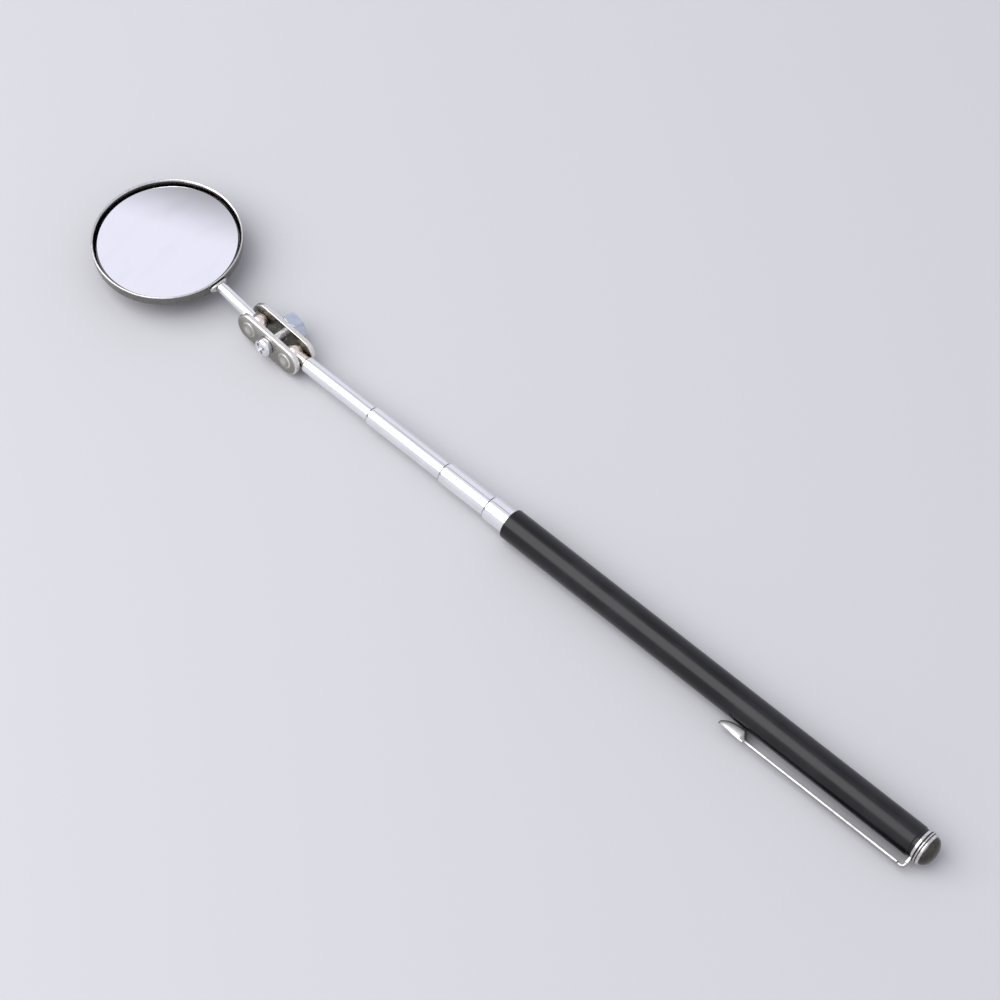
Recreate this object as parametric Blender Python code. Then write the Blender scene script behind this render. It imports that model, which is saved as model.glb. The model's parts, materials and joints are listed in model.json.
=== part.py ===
"""A telescoping inspection mirror: a round mirror on a two-ball clamp at the end of a pocket wand.

The wand lies along X with the mirror at +X. Lengths are in metres. The tool frame has its origin at
the centre of the wand ball, and the finished tool is set down on z = 0 with its box centred on the
origin.
"""

import math

import bmesh
import bpy
from mathutils import Matrix, Vector

MM = 0.001

# Mirror head
CUP_DIAMETER = 31.8 * MM
CUP_WALL = 0.45 * MM
CUP_BACK_ROUND = 0.7 * MM
PAD_THICKNESS = 0.25 * MM
GLASS_THICKNESS = 0.85 * MM
GLASS_RECESS = 1.2 * MM
GLASS_CHAMFER = 0.15 * MM
GLASS_SIDE_GAP = 0.35 * MM
STEM_LENGTH = 12.5 * MM
STEM_SIDE_GAP = 0.375 * MM
STEM_END_CHAMFER = 0.15 * MM
SADDLE_THICKNESS = 0.6 * MM
SADDLE_SPREAD = 4.6 * MM

# Two-ball clamp
BALL_DIAMETER = 4.0 * MM
BALL_GRIP_DEPTH = 0.35 * MM
BALL_SPACING = 10.5 * MM
PLATE_LENGTH = 17.6 * MM
PLATE_WIDTH = 6.3 * MM
PLATE_THICKNESS = 1.3 * MM
SCREW_DIAMETER = 2.3 * MM
SCREW_HEAD_DIAMETER = 4.0 * MM
SCREW_HEAD_HEIGHT = 1.75 * MM
SCREW_TIP = 0.4 * MM
SCREW_END_CHAMFER = 0.3 * MM
RECESS_WIDTH = 0.55 * MM
RECESS_LENGTH = 2.5 * MM
RECESS_DEPTH = 0.9 * MM
NUT_ACROSS_FLATS = 5.5 * MM
NUT_THICKNESS = 2.8 * MM
NUT_CORNER_CHAMFER = 0.45 * MM

# Telescoping sections, numbered from the clamp to the handle
SECTION_COUNT = 4
SMALLEST_TUBE_DIAMETER = 3.44 * MM
TUBE_WALL = 0.2 * MM
NESTING_GAP = 0.11 * MM
SECTION_END_SPACE = 7.75 * MM
SECTION_LENGTH_STEP = 2.5 * MM
SHOWN_LENGTHS = [18.6 * MM, 20.4 * MM, 12.2 * MM, 5.5 * MM]
LIP_LENGTH = 1.3 * MM
LIP_EDGE = 0.07 * MM
SHIM_LENGTH = 5.0 * MM
SHIM_SLOT_DEG = 24.0
NECK_SIDE_GAP = 0.2 * MM
NECK_SWING_GAP = 0.2 * MM
PLUG_LENGTH = 4.0 * MM

# Handle, pocket clip and end cap
SLEEVE_LENGTH = 101.25 * MM
SLEEVE_WALL = 0.33 * MM
SLEEVE_EDGE_ROUND = 0.22 * MM
BARE_TUBE_LENGTH = 0.7 * MM
CLIP_THICKNESS = 0.6 * MM
CLIP_BAND_RIM = 0.37 * MM
CLIP_TAB_RISE = 1.05 * MM
CLIP_TAB_WIDTH = 1.6 * MM
CLIP_BEND_RADIUS = 0.7 * MM
CLIP_LIFT = 2.0 * MM
CLIP_LENGTH = 44.1 * MM
CLIP_SHOULDER_START = 1.2 * MM
CLIP_SHOULDER_WIDTH = 3.8 * MM
CLIP_NECK_WIDTH = 1.7 * MM
CLIP_BUMP_LENGTH = 6.6 * MM
CLIP_BUMP_PEAK = 1.7 * MM
CLIP_BUMP_WIDTH = 3.0 * MM
CLIP_TIP_WIDTH = 0.6 * MM
CAP_GROOVE = 0.25 * MM
CAP_OVERHANG = 0.19 * MM
CAP_FLANGE_THICKNESS = 1.1 * MM
CAP_DOME_STEP = 0.4 * MM
CAP_DOME_HEIGHT = 1.75 * MM
CAP_PLUG_LENGTH = 3.5 * MM

# How the tool lies at rest, in degrees
CLAMP_ROLL = 9.0
CLAMP_PITCH = 4.0
CLAMP_YAW = -1.5
STEM_PITCH = 7.4
MIRROR_PITCH = 0.0
CLIP_DROP = 19.0

# Clearances between pieces
RUNNING_CLEARANCE = 0.05 * MM
SLIDING_CLEARANCE = 0.02 * MM
SEAT_GAP = 0.05 * MM

SIDES_SMALL = 24
SIDES_TUBE = 40
SIDES_CUP = 56
MERGE_DISTANCE = 1e-8

# Sizes that follow from the ones above
CUP_RADIUS = CUP_DIAMETER / 2
CUP_HEIGHT = CUP_WALL + PAD_THICKNESS + GLASS_THICKNESS + GLASS_RECESS + 2 * SEAT_GAP
GLASS_RADIUS = CUP_RADIUS - CUP_WALL - GLASS_SIDE_GAP
BALL_RADIUS = BALL_DIAMETER / 2
SOCKET_RADIUS = BALL_RADIUS + RUNNING_CLEARANCE
PLATE_GAP = BALL_DIAMETER - 2 * BALL_GRIP_DEPTH
PLATE_INNER = PLATE_GAP / 2
PLATE_OUTER = PLATE_INNER + PLATE_THICKNESS
STEM_RADIUS = PLATE_INNER - STEM_SIDE_GAP
# The cup's curved wall stands back from the stem's flat end by this much at the stem's edge.
STEM_SIDE_SAG = CUP_RADIUS - math.sqrt(CUP_RADIUS ** 2 - STEM_RADIUS ** 2)
TUBE_PITCH = TUBE_WALL + NESTING_GAP
TUBE_RADII = [SMALLEST_TUBE_DIAMETER / 2 + k * TUBE_PITCH for k in range(SECTION_COUNT + 1)]
SHIM_THICKNESS = NESTING_GAP - 2 * SLIDING_CLEARANCE
# The longest section stops short of the end cap when it is pushed all the way in.
LONGEST_SECTION = SLEEVE_LENGTH - SECTION_END_SPACE
# The neck is as thick as the gap between the plates and the mouth of the smallest tube allow.
NECK_IN_MOUTH = TUBE_RADII[0] - TUBE_WALL - LIP_EDGE
NECK_RADIUS = min(PLATE_INNER - NECK_SIDE_GAP, NECK_IN_MOUTH)
# The smallest tube starts just beyond the end of the plates, so that the clamp can swing.
NECK_REACH = (PLATE_LENGTH - BALL_SPACING) / 2 + NECK_SWING_GAP
HANDLE_TUBE_RADIUS = TUBE_RADII[SECTION_COUNT]
SLEEVE_RADIUS = HANDLE_TUBE_RADIUS + SLIDING_CLEARANCE + SLEEVE_WALL
HANDLE_FRONT = -NECK_REACH - sum(SHOWN_LENGTHS)
SLEEVE_REAR = HANDLE_FRONT - SLEEVE_LENGTH
BAND_FRONT = SLEEVE_REAR - BARE_TUBE_LENGTH
BAND_REAR = BAND_FRONT - CLIP_THICKNESS
BAND_MIDDLE = (BAND_FRONT + BAND_REAR) / 2
BAND_BORE = HANDLE_TUBE_RADIUS + SLIDING_CLEARANCE
BAND_RADIUS = BAND_BORE + CLIP_BAND_RIM
CLIP_SPLIT_RADIUS = BAND_RADIUS + CLIP_TAB_RISE
CLIP_STANDOFF = SLEEVE_RADIUS + CLIP_LIFT
CLIP_BUMP_START = CLIP_LENGTH - CLIP_BUMP_LENGTH
CLIP_BUMP_DEPTH = CLIP_LIFT - CLIP_THICKNESS / 2 - RUNNING_CLEARANCE
CAP_FRONT = BAND_REAR - CAP_GROOVE
HANDLE_TUBE_REAR = CAP_FRONT + SEAT_GAP


# ---------------------------------------------------------------- helpers


def clear_scene():
    for old in list(bpy.data.objects):
        bpy.data.objects.remove(old, do_unlink=True)


def make_material(name, colour, roughness, metallic):
    material = bpy.data.materials.new(name)
    material.use_nodes = True
    shader = material.node_tree.nodes["Principled BSDF"]
    shader.inputs["Base Color"].default_value = (*colour, 1.0)
    shader.inputs["Roughness"].default_value = roughness
    shader.inputs["Metallic"].default_value = metallic
    return material


def add_object(name, mesh, parent, material=None, place=None):
    obj = bpy.data.objects.new(name, mesh)
    bpy.context.collection.objects.link(obj)
    obj.parent = parent
    obj.matrix_local = place if place is not None else Matrix.Identity(4)
    if material is not None:
        mesh.materials.append(material)
        mesh.shade_smooth()
        mesh.set_sharp_from_angle(angle=math.radians(35))
    return obj


def add_frame(name, parent, place):
    """An empty that carries the pieces of one joint."""
    frame = bpy.data.objects.new(name, None)
    bpy.context.collection.objects.link(frame)
    frame.parent = parent
    frame.matrix_local = place
    return frame


def mesh_from(bm, name):
    bmesh.ops.remove_doubles(bm, verts=bm.verts, dist=MERGE_DISTANCE)
    bmesh.ops.recalc_face_normals(bm, faces=bm.faces)
    mesh = bpy.data.meshes.new(name)
    bm.to_mesh(mesh)
    bm.free()
    return mesh


def turn(degrees, axis):
    return Matrix.Rotation(math.radians(degrees), 4, axis)


def arc(centre, radius, start, end, steps):
    """Points of an arc as (station, distance from the axis), angles in degrees from the axis."""
    points = []
    for i in range(steps + 1):
        angle = math.radians(start + (end - start) * i / steps)
        points.append((centre[0] + radius * math.cos(angle), centre[1] + radius * math.sin(angle)))
    return points


def turned(name, profile, axis, sides, hollow):
    """Spin a profile of (station, radius) points about an axis; a hollow one closes on itself."""
    along = {"X": Vector((1, 0, 0)), "Y": Vector((0, 1, 0)), "Z": Vector((0, 0, 1))}[axis]
    outward = Vector((0, 0, 1)) if axis != "Z" else Vector((-1, 0, 0))
    bm = bmesh.new()
    verts = [bm.verts.new(along * station + outward * max(radius, 0.0)) for station, radius in profile]
    ends = verts[1:] + verts[:1] if hollow else verts[1:]
    edges = [bm.edges.new(pair) for pair in zip(verts, ends)]
    bmesh.ops.spin(bm, geom=verts + edges, cent=(0, 0, 0), axis=along, dvec=(0, 0, 0),
                   angle=2 * math.pi, steps=sides, use_merge=True, use_duplicate=False)
    return mesh_from(bm, name)


def prism(name, outline, low, high, axis="Y"):
    """Extrude an outline of (a, b) points between two stations along Y or Z."""
    bm = bmesh.new()
    if axis == "Y":
        ring = [bm.verts.new((a, low, b)) for a, b in outline]
        shift = Vector((0, high - low, 0))
    else:
        ring = [bm.verts.new((a, b, low)) for a, b in outline]
        shift = Vector((0, 0, high - low))
    face = bm.faces.new(ring)
    made = bmesh.ops.extrude_face_region(bm, geom=[face])
    top = [item for item in made["geom"] if isinstance(item, bmesh.types.BMVert)]
    bmesh.ops.translate(bm, verts=top, vec=shift)
    return mesh_from(bm, name)


def combine(obj, tool, operation):
    """Join, cut or trim a piece with a helper shape that stays out of the model."""
    tool.hide_render = True
    tool.display_type = "WIRE"
    modifier = obj.modifiers.new(operation.title(), "BOOLEAN")
    modifier.operation = operation
    modifier.solver = "EXACT"
    modifier.object = tool


# ---------------------------------------------------------------- mirror head


def mirror_cup(parent, material):
    """Drawn steel cup with a rounded back edge and a rolled lip; its back is at z = 0."""
    inner = CUP_RADIUS - CUP_WALL
    lip = CUP_WALL / 2
    back_edge = arc((CUP_BACK_ROUND, CUP_RADIUS - CUP_BACK_ROUND), CUP_BACK_ROUND, 180, 90, 4)
    rim = arc((CUP_HEIGHT - lip, CUP_RADIUS - lip), lip, 90, -90, 6)
    floor_edge = [(CUP_WALL + CUP_BACK_ROUND / 3, inner), (CUP_WALL, inner - CUP_BACK_ROUND / 3)]
    profile = [(0.0, 0.0)] + back_edge + rim + floor_edge + [(CUP_WALL, 0.0)]
    mesh = turned("mirror_cup", profile, "Z", SIDES_CUP, False)
    return add_object("mirror_cup", mesh, parent, material)


def mirror_backing_pad(parent, material):
    low = CUP_WALL + SEAT_GAP
    radius = GLASS_RADIUS - CUP_BACK_ROUND / 3
    profile = [(low, 0.0), (low, radius), (low + PAD_THICKNESS, radius), (low + PAD_THICKNESS, 0.0)]
    name = "mirror_backing_pad"
    return add_object(name, turned(name, profile, "Z", SIDES_CUP, False), parent, material)


def mirror_glass(parent, material):
    low = CUP_WALL + PAD_THICKNESS + 2 * SEAT_GAP
    high = low + GLASS_THICKNESS
    edge = GLASS_RADIUS - GLASS_CHAMFER
    profile = [(low, 0.0), (low, edge), (low + GLASS_CHAMFER, GLASS_RADIUS),
               (high - GLASS_CHAMFER, GLASS_RADIUS), (high, edge), (high, 0.0)]
    mesh = turned("mirror_glass", profile, "Z", SIDES_CUP, False)
    return add_object("mirror_glass", mesh, parent, material)


def stem_saddle(parent, material):
    """Curved foot of the stem, which hugs the cup's wall; modelled in the cup's frame."""
    inner = CUP_RADIUS + SEAT_GAP
    outer = inner + SADDLE_THICKNESS
    half_angle = SADDLE_SPREAD / 2 / outer
    steps = 8
    outline = []
    for radius, order in ((outer, range(steps + 1)), (inner, range(steps, -1, -1))):
        for i in order:
            angle = math.pi + half_angle * (2 * i / steps - 1)
            outline.append((radius * math.cos(angle), radius * math.sin(angle)))
    low = CUP_BACK_ROUND / 2
    high = CUP_HEIGHT - CUP_WALL
    return add_object("stem_saddle", prism("stem_saddle", outline, low, high, "Z"), parent, material)


def mirror_stem(parent, material):
    """Rod whose inner end is hollowed to fit round the stem ball; it runs along the head's X axis."""
    seat = math.degrees(math.asin(STEM_RADIUS / SOCKET_RADIUS))
    end = STEM_LENGTH - SADDLE_THICKNESS - 3 * SEAT_GAP - STEM_SIDE_SAG
    profile = arc((0.0, 0.0), SOCKET_RADIUS, 0, seat, 4)
    profile += [(end - STEM_END_CHAMFER, STEM_RADIUS), (end, STEM_RADIUS - STEM_END_CHAMFER), (end, 0.0)]
    mesh = turned("mirror_stem", profile, "X", SIDES_SMALL, False)
    return add_object("mirror_stem", mesh, parent, material)


def stem_ball(parent, material):
    profile = arc((0.0, 0.0), BALL_RADIUS, 180, 0, 12)
    mesh = turned("stem_ball", profile, "X", SIDES_SMALL, False)
    return add_object("stem_ball", mesh, parent, material)


# ---------------------------------------------------------------- clamp


def stadium(length, width, centre, steps):
    """Outline of a bar with round ends, as (x, z) points."""
    radius = width / 2
    reach = length / 2 - radius
    points = []
    for side, start in ((1, -90), (-1, 90)):
        for i in range(steps + 1):
            angle = math.radians(start + 180 * i / steps)
            points.append((centre + side * reach + radius * math.cos(angle), radius * math.sin(angle)))
    return points


def clamp_plate(name, side, parent, material):
    """Side plate with a pressed seat for each ball and a hole for the screw; side is +1 or -1 along Y."""
    middle = BALL_SPACING / 2
    outline = stadium(PLATE_LENGTH, PLATE_WIDTH, middle, 9)
    low, high = sorted((side * PLATE_INNER, side * PLATE_OUTER))
    plate = add_object(name, prism(name, outline, low, high), parent, material)
    bevel = plate.modifiers.new("Bevel", "BEVEL")
    bevel.width = PLATE_THICKNESS / 5
    bevel.segments = 1
    bevel.limit_method = "ANGLE"
    bevel.angle_limit = math.radians(60)
    dome_profile = arc((0.0, 0.0), SOCKET_RADIUS + PLATE_THICKNESS, 0, 60, 6)
    dome_profile = dome_profile + [(dome_profile[-1][0], 0.0)]
    socket_profile = arc((0.0, 0.0), SOCKET_RADIUS, 180, 0, 10)
    for label, x in (("wand", 0.0), ("stem", BALL_SPACING)):
        place = Matrix.Translation((x, 0, 0)) @ turn(0 if side > 0 else 180, "Z")
        dome_mesh = turned("dome", dome_profile, "Y", SIDES_SMALL, False)
        combine(plate, add_object(f"{name}_{label}_dome", dome_mesh, parent, None, place), "UNION")
        socket_mesh = turned("socket", socket_profile, "Y", SIDES_SMALL, False)
        combine(plate, add_object(f"{name}_{label}_socket", socket_mesh, parent, None, place), "DIFFERENCE")
    radius = SCREW_DIAMETER / 2 + RUNNING_CLEARANCE
    ends = PLATE_OUTER + PLATE_THICKNESS
    hole_profile = [(ends, 0.0), (ends, radius), (-ends, radius), (-ends, 0.0)]
    hole = add_object(f"{name}_hole", turned("hole", hole_profile, "Y", SIDES_SMALL, False),
                      parent, None, Matrix.Translation((middle, 0, 0)))
    combine(plate, hole, "DIFFERENCE")
    return plate


def clamp_screw(parent, material):
    """Pan-head screw with a cross recess; its axis is Y and its head is on the +Y side."""
    place = Matrix.Translation((BALL_SPACING / 2, 0, 0))
    shank = SCREW_DIAMETER / 2
    head = SCREW_HEAD_DIAMETER / 2
    seat = PLATE_OUTER + SEAT_GAP
    tip = -(PLATE_OUTER + SEAT_GAP + NUT_THICKNESS + SCREW_TIP)
    edge = seat + SCREW_HEAD_HEIGHT * 0.45
    top = seat + SCREW_HEAD_HEIGHT
    crown = [(edge + (top - edge) * rise / head, reach) for rise, reach in arc((0.0, 0.0), head, 40, 90, 4)]
    profile = [(top, 0.0)] + crown + [(seat, head), (seat, shank), (tip + SCREW_END_CHAMFER, shank),
                                      (tip, shank - SCREW_END_CHAMFER), (tip, 0.0)]
    mesh = turned("clamp_screw", profile, "Y", SIDES_SMALL, False)
    screw = add_object("clamp_screw", mesh, parent, material, place)
    arm = RECESS_LENGTH / 2
    half = RECESS_WIDTH / 2
    outline = [(-arm, -half), (arm, -half), (arm, half), (-arm, half)]
    for i, angle in enumerate((45, 135)):
        slot = add_object(f"recess_cutter_{i}", prism("recess", outline, top - RECESS_DEPTH, top + MM),
                          parent, None, place @ turn(angle, "Y"))
        combine(screw, slot, "DIFFERENCE")
    return screw


def clamp_nut(parent, material):
    """Hexagon nut with chamfered corners on the -Y side of the clamp."""
    corner = NUT_ACROSS_FLATS / math.sqrt(3)
    flat = NUT_ACROSS_FLATS / 2
    near = -(PLATE_OUTER + SEAT_GAP)
    far = near - NUT_THICKNESS
    corners = [math.radians(60 * i) for i in range(6)]
    outline = [(corner * math.cos(angle), corner * math.sin(angle)) for angle in corners]
    place = Matrix.Translation((BALL_SPACING / 2, 0, 0))
    nut = add_object("clamp_nut", prism("clamp_nut", outline, far, near), parent, material, place)
    trim_profile = [(near + MM, 0.0), (near + MM, corner + MM), (far + NUT_CORNER_CHAMFER, corner),
                    (far, flat), (far - MM, flat - MM), (far - MM, 0.0)]
    trim_mesh = turned("nut_trim", trim_profile, "Y", SIDES_SMALL, False)
    combine(nut, add_object("nut_trim", trim_mesh, parent, None, place), "INTERSECT")
    radius = SCREW_DIAMETER / 2 + RUNNING_CLEARANCE
    bore_profile = [(near + MM, 0.0), (near + MM, radius), (far - MM, radius), (far - MM, 0.0)]
    bore_mesh = turned("nut_bore", bore_profile, "Y", SIDES_SMALL, False)
    combine(nut, add_object("nut_bore", bore_mesh, parent, None, place), "DIFFERENCE")
    return nut


# ---------------------------------------------------------------- telescoping wand


def wand_ball(parent, material):
    """Ball on a neck, with a plug that is held inside the front of the smallest tube."""
    plug = TUBE_RADII[0] - TUBE_WALL - RUNNING_CLEARANCE
    shoulder = -NECK_REACH - LIP_LENGTH - SEAT_GAP
    foot = shoulder - PLUG_LENGTH
    neck_meets_ball = 180 - math.degrees(math.asin(NECK_RADIUS / BALL_RADIUS))
    profile = arc((0.0, 0.0), BALL_RADIUS, 0, neck_meets_ball, 10)
    profile = profile + [(shoulder, NECK_RADIUS), (shoulder, plug), (foot, plug), (foot, 0.0)]
    mesh = turned("wand_ball", profile, "X", SIDES_SMALL, False)
    return add_object("wand_ball", mesh, parent, material)


def tube_profile(front, rear, radius, lip_inner):
    """Thin tube whose front end is rounded inwards to hold what slides in it."""
    inner = radius - TUBE_WALL
    start = front - LIP_LENGTH
    drop = radius - lip_inner - LIP_EDGE
    lip = []
    for angle in (0, 30, 60, 90):
        turned_in = drop * (1 - math.cos(math.radians(angle)))
        lip.append((start + LIP_LENGTH * math.sin(math.radians(angle)), radius - turned_in))
    return [(rear, radius)] + lip + [(front, lip_inner), (start + LIP_LENGTH / 4, lip_inner),
                                     (start, inner), (rear, inner)]


def section_front(k):
    return -NECK_REACH - sum(SHOWN_LENGTHS[:k])


def section_length(k):
    return LONGEST_SECTION - (SECTION_COUNT - 1 - k) * SECTION_LENGTH_STEP


def tube_section(k, parent, material):
    name = f"tube_{k + 1}"
    front = section_front(k)
    guided = NECK_RADIUS + RUNNING_CLEARANCE if k == 0 else TUBE_RADII[k - 1] + SLIDING_CLEARANCE
    profile = tube_profile(front, front - section_length(k), TUBE_RADII[k], guided)
    return add_object(name, turned(name, profile, "X", SIDES_TUBE, True), parent, material)


def friction_shim(k, parent, material):
    """Split brass sleeve near the rear of a section, which gives the slide its drag."""
    name = f"friction_shim_{k + 1}"
    inner = TUBE_RADII[k] + SLIDING_CLEARANCE
    outer = inner + SHIM_THICKNESS
    rear = section_front(k) - section_length(k) + SHIM_LENGTH / 5
    slot = math.radians(SHIM_SLOT_DEG)
    steps = SIDES_TUBE
    outline = []
    for radius, order in ((outer, range(steps + 1)), (inner, range(steps, -1, -1))):
        for i in order:
            angle = slot / 2 + (2 * math.pi - slot) * i / steps
            outline.append((radius * math.cos(angle), radius * math.sin(angle)))
    mesh = prism(name, outline, rear, rear + SHIM_LENGTH, "Z")
    mesh.transform(turn(90, "Y"))
    return add_object(name, mesh, parent, material)


# ---------------------------------------------------------------- handle


def handle_tube(parent, material):
    guided = TUBE_RADII[SECTION_COUNT - 1] + SLIDING_CLEARANCE
    profile = tube_profile(HANDLE_FRONT, HANDLE_TUBE_REAR, HANDLE_TUBE_RADIUS, guided)
    mesh = turned("handle_tube", profile, "X", SIDES_TUBE, True)
    return add_object("handle_tube", mesh, parent, material)


def handle_sleeve(parent, material):
    inner = HANDLE_TUBE_RADIUS + SLIDING_CLEARANCE
    r = SLEEVE_EDGE_ROUND
    front = arc((HANDLE_FRONT - r, SLEEVE_RADIUS - r), r, 0, 90, 3)
    rear = arc((SLEEVE_REAR + r, SLEEVE_RADIUS - r), r, 90, 180, 3)
    profile = front + rear + [(SLEEVE_REAR, inner), (HANDLE_FRONT, inner)]
    mesh = turned("handle_sleeve", profile, "X", SIDES_TUBE, True)
    return add_object("handle_sleeve", mesh, parent, material)


def clip_band(parent, material):
    """Ring of the pocket clip with the tab that carries the arm; the tab points along the clip's +Y."""
    half = CLIP_TAB_WIDTH / 2
    meets = math.asin(half / BAND_RADIUS)
    steps = SIDES_TUBE - 4
    outline = [(half, CLIP_SPLIT_RADIUS), (-half, CLIP_SPLIT_RADIUS)]
    for i in range(steps + 1):
        angle = math.pi / 2 + meets + (2 * math.pi - 2 * meets) * i / steps
        outline.append((BAND_RADIUS * math.cos(angle), BAND_RADIUS * math.sin(angle)))
    # The outline is (across, outwards); it is extruded along the wand and turned so outwards is +Y.
    mesh = prism("clip_band", outline, BAND_REAR, BAND_FRONT, "Z")
    mesh.transform(Matrix(((0, 0, 1, 0), (0, 1, 0, 0), (-1, 0, 0, 0), (0, 0, 0, 1))))
    band = add_object("clip_band", mesh, parent, material)
    bore_profile = [(BAND_FRONT + MM, 0.0), (BAND_FRONT + MM, BAND_BORE),
                    (BAND_REAR - MM, BAND_BORE), (BAND_REAR - MM, 0.0)]
    bore = add_object("clip_band_bore", turned("bore", bore_profile, "X", SIDES_TUBE, False), parent)
    combine(band, bore, "DIFFERENCE")
    return band


def bump_share(distance):
    """Height of the pressed bump along the arm, from 0 to 1: a steep rear and a long nose."""
    along = distance - CLIP_BUMP_START
    if along <= 0:
        return 0.0
    if along < CLIP_BUMP_PEAK:
        return math.sin(math.pi / 2 * along / CLIP_BUMP_PEAK)
    return math.cos(math.pi / 2 * (along - CLIP_BUMP_PEAK) / (CLIP_BUMP_LENGTH - CLIP_BUMP_PEAK))


def clip_half_width(distance):
    """Half the arm's width at a distance along it from the bend."""
    share = bump_share(distance)
    if distance <= CLIP_SHOULDER_START:
        width = CLIP_TAB_WIDTH
    elif distance <= CLIP_BUMP_START:
        passed = (distance - CLIP_SHOULDER_START) / (CLIP_BUMP_START - CLIP_SHOULDER_START)
        width = CLIP_SHOULDER_WIDTH + (CLIP_NECK_WIDTH - CLIP_SHOULDER_WIDTH) * passed
    elif distance <= CLIP_BUMP_START + CLIP_BUMP_PEAK:
        width = CLIP_NECK_WIDTH + (CLIP_BUMP_WIDTH - CLIP_NECK_WIDTH) * share
    else:
        width = CLIP_TIP_WIDTH + (CLIP_BUMP_WIDTH - CLIP_TIP_WIDTH) * share
    return width / 2


def clip_path():
    """Centre line of the arm as (distance, height, lean of the strip in degrees): a bend, then straight."""
    bend_height = CLIP_STANDOFF - CLIP_BEND_RADIUS
    path = [(0.0, CLIP_SPLIT_RADIUS + SEAT_GAP, 90.0)]
    for lean in (90.0, 67.5, 45.0, 22.5, 0.0):
        from_start = math.radians(90.0 - lean)
        path.append((CLIP_BEND_RADIUS * (1 - math.cos(from_start)),
                     bend_height + CLIP_BEND_RADIUS * math.sin(from_start), lean))
    shoulder_end = CLIP_SHOULDER_START + CLIP_THICKNESS / 4
    distances = [CLIP_SHOULDER_START, shoulder_end]
    distances += [shoulder_end + (CLIP_BUMP_START - shoulder_end) * i / 5 for i in range(1, 6)]
    distances += [CLIP_BUMP_START + CLIP_BUMP_LENGTH * i / 12 for i in range(1, 13)]
    return path + [(distance, CLIP_STANDOFF, 0.0) for distance in distances]


def clip_arm(parent, material):
    """Springy strip with a pressed bump near its tip, running along +X on the clip's +Y side."""
    hinge = Vector((BAND_MIDDLE, CLIP_SPLIT_RADIUS, 0.0))
    half = CLIP_THICKNESS / 2
    across = [i / 3 for i in range(-3, 4)]
    bm = bmesh.new()
    rings = []
    for distance, height, lean in clip_path():
        outward = Vector((-math.sin(math.radians(lean)), math.cos(math.radians(lean)), 0))
        width = clip_half_width(distance)
        ring = []
        for side, order in ((1, across), (-1, across[::-1])):
            for share in order:
                pressed = CLIP_BUMP_DEPTH * bump_share(distance) * (1 - share ** 2)
                point = Vector((distance, height - CLIP_SPLIT_RADIUS, share * width))
                ring.append(bm.verts.new(point + outward * (side * half - pressed)))
        rings.append(ring)
    for ring, following in zip(rings, rings[1:]):
        for i in range(len(ring)):
            j = (i + 1) % len(ring)
            bm.faces.new((ring[i], ring[j], following[j], following[i]))
    bm.faces.new(rings[0])
    bm.faces.new(rings[-1])
    return add_object("clip_arm", mesh_from(bm, "clip_arm"), parent, material, Matrix.Translation(hinge))


def end_cap(parent, material):
    """Domed plug that closes the rear of the handle and traps the clip's band."""
    flange = SLEEVE_RADIUS + CAP_OVERHANG
    plug = HANDLE_TUBE_RADIUS - TUBE_WALL - SLIDING_CLEARANCE
    plug_front = CAP_FRONT + CAP_PLUG_LENGTH
    rear = CAP_FRONT - CAP_FLANGE_THICKNESS
    edge = CAP_FLANGE_THICKNESS / 3
    front_edge = arc((CAP_FRONT - edge, flange - edge), edge, 0, 90, 3)
    rear_edge = arc((rear + edge, flange - edge), edge, 90, 180, 3)
    dome = []
    for rise, reach in arc((0.0, 0.0), 1.0, 90, 0, 6):
        dome.append((rear - CAP_DOME_HEIGHT * rise, (flange - CAP_DOME_STEP) * reach))
    profile = [(plug_front, 0.0), (plug_front, plug), (CAP_FRONT, plug)] + front_edge + rear_edge + dome
    return add_object("end_cap", turned("end_cap", profile, "X", SIDES_TUBE, False), parent, material)


# ---------------------------------------------------------------- assembly


def build_head(clamp, chrome, cup_metal, ball_metal):
    swing = Matrix.Translation((BALL_SPACING, 0, 0)) @ turn(CLAMP_PITCH - STEM_PITCH, "Y")
    head_swing = add_frame("head_swing", clamp, swing)
    stem_ball(head_swing, ball_metal)
    head_twist = add_frame("head_twist", head_swing, turn(-CLAMP_ROLL, "X"))
    mirror_stem(head_twist, chrome)
    wall_point = Matrix.Translation((STEM_LENGTH, 0, 0)) @ turn(STEM_PITCH - MIRROR_PITCH, "Y")
    cup_back = Matrix.Translation((CUP_RADIUS, 0, -CUP_HEIGHT / 2))
    cup_frame = add_frame("cup_frame", head_twist, wall_point @ cup_back)
    mirror_cup(cup_frame, cup_metal)
    mirror_backing_pad(cup_frame, make_material("backing_pad", (0.05, 0.05, 0.05), 0.9, 0.0))
    mirror_glass(cup_frame, make_material("silvered_glass", (0.9, 0.9, 0.95), 0.02, 1.0))
    stem_saddle(cup_frame, cup_metal)


def build_clamp(tool, chrome, cup_metal, ball_metal):
    attitude = turn(CLAMP_YAW, "Z") @ turn(-CLAMP_PITCH, "Y") @ turn(CLAMP_ROLL, "X")
    clamp = add_frame("clamp_swing", tool, attitude)
    nickel = make_material("nickel_plate", (0.62, 0.6, 0.56), 0.32, 1.0)
    zinc = make_material("zinc_plate", (0.75, 0.8, 0.86), 0.4, 1.0)
    clamp_plate("clamp_plate_near", 1, clamp, nickel)
    clamp_plate("clamp_plate_far", -1, clamp, nickel)
    clamp_screw(clamp, zinc)
    clamp_nut(clamp, zinc)
    build_head(clamp, chrome, cup_metal, ball_metal)


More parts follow.
